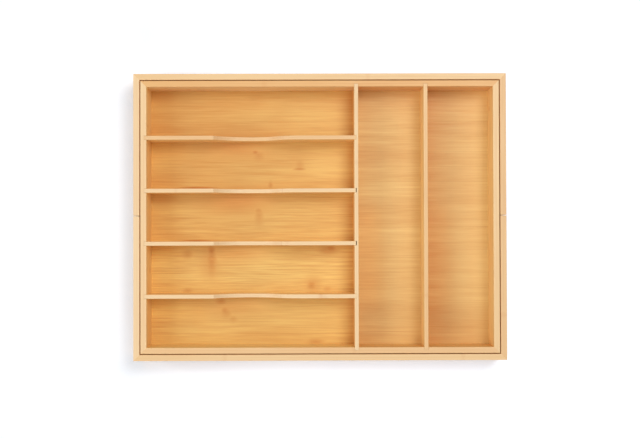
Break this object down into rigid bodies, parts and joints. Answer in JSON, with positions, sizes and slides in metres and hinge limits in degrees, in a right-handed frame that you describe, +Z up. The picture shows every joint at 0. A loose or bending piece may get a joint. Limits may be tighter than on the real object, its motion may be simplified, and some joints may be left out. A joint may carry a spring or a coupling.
{
  "type": "cutlery tray",
  "caption": "Expandable bamboo drawer tray with scooped cutlery slots and long slots, inside U-shaped extensions that slide out to the rear and to the front.",
  "frame": {"origin": "middle of the closed tray's footprint, on the surface that it stands on", "axes": "+X along the cutlery slots, towards the long slots; +Y to the rear; +Z up"},
  "size_m": [0.455, 0.35, 0.05],
  "materials": {
    "long_wall": "satin",
    "end_wall": "satin",
    "floor": "satin",
    "long_divider": "satin",
    "short_divider": "satin",
    "runner": "satin"
  },
  "bodies": {
    "main_tray": {"main_left_wall": "end_wall", "main_right_wall": "end_wall", "main_rear_wall": "long_wall", "main_front_wall": "long_wall", "main_floor": "floor", "long_divider_left": "long_divider", "long_divider_right": "long_divider", "cutlery_divider_1": "short_divider", "cutlery_divider_2": "short_divider", "cutlery_divider_3": "short_divider", "cutlery_divider_4": "short_divider"},
    "rear_extension": {"rear_long_wall": "long_wall", "rear_left_wall": "end_wall", "rear_right_wall": "end_wall", "rear_floor": "floor", "rear_left_runner": "runner", "rear_right_runner": "runner"},
    "front_extension": {"front_long_wall": "long_wall", "front_left_wall": "end_wall", "front_right_wall": "end_wall", "front_floor": "floor", "front_left_runner": "runner", "front_right_runner": "runner"}
  },
  "joints": [
    {"name": "rear_slide", "type": "slide", "parent": "main_tray", "child": "rear_extension", "axis": [0, 1, 0], "range_m": [0, 0.115]},
    {"name": "front_slide", "type": "slide", "parent": "main_tray", "child": "front_extension", "axis": [0, -1, 0], "range_m": [0, 0.115]}
  ]
}
